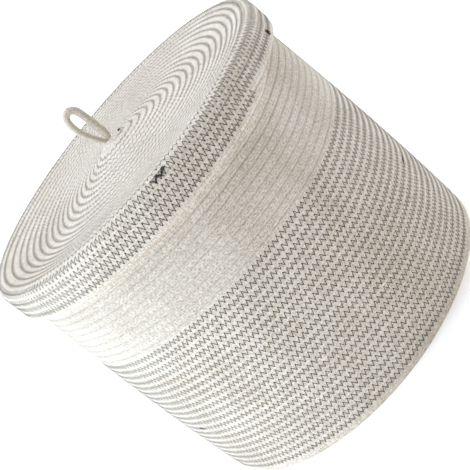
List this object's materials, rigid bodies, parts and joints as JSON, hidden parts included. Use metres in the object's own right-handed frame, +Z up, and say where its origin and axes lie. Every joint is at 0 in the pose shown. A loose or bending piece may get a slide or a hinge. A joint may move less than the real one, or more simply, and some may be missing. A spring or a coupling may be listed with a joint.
{
  "type": "laundry hamper with lid",
  "caption": "Round laundry hamper of coiled cotton rope sewn with zigzag thread, with a rope cap lid that lifts off and a standing rope loop on it.",
  "frame": {"origin": "centre of the base's underside, on the floor that the hamper stands on", "axes": "+Z up along the basket's axis; -Y is the front that faces the viewer, +X the viewer's right"},
  "size_m": [0.4204, 0.4204, 0.4155],
  "materials": {
    "natural_rope": "matt woven cotton rope, natural off-white",
    "loop_rope": "matt cotton rope, warmer cream",
    "charcoal_thread": "twisted sewing thread, charcoal",
    "ivory_thread": "twisted sewing thread, ivory",
    "black_thread": "doubled sewing thread, black"
  },
  "bodies": {
    "basket": {"base_coil": "natural_rope", "foot_course": "natural_rope", "wall_coil_charcoal_zone": "natural_rope", "wall_coil_ivory_zone": "natural_rope", "rim_course": "natural_rope", "base_stitching_inner": "charcoal_thread", "wall_stitching_charcoal_outer": "charcoal_thread", "wall_stitching_charcoal_inner": "charcoal_thread", "wall_stitching_ivory_outer": "ivory_thread", "wall_stitching_ivory_inner": "ivory_thread", "wall_thread_join_left": "charcoal_thread", "wall_thread_join_right": "charcoal_thread"},
    "lid": {"lid_crown_coil": "natural_rope", "lid_shoulder_coil": "natural_rope", "lid_skirt_coil": "natural_rope", "lid_edge_course": "natural_rope", "lid_stitching_crown_top": "charcoal_thread", "lid_stitching_crown_under": "charcoal_thread", "lid_stitching_skirt_outer": "charcoal_thread", "lid_stitching_skirt_inner": "charcoal_thread", "lid_tack_front": "black_thread", "lid_tack_side": "black_thread", "lid_tack_centre": "black_thread", "loop_root": "loop_rope"},
    "loop": {"lid_loop": "loop_rope"}
  },
  "joints": [
    {"name": "lid_lift", "type": "slide", "parent": "basket", "child": "lid", "axis": [0, 0, 1], "range_m": [0, 0.4]},
    {"name": "loop_tilt", "type": "hinge", "parent": "lid", "child": "loop", "pos_m": [0, 0, 0.3616], "axis": [1, 0, 0], "range_deg": [-60, 60], "stiffness_Nm_per_rad": 0.05}
  ]
}
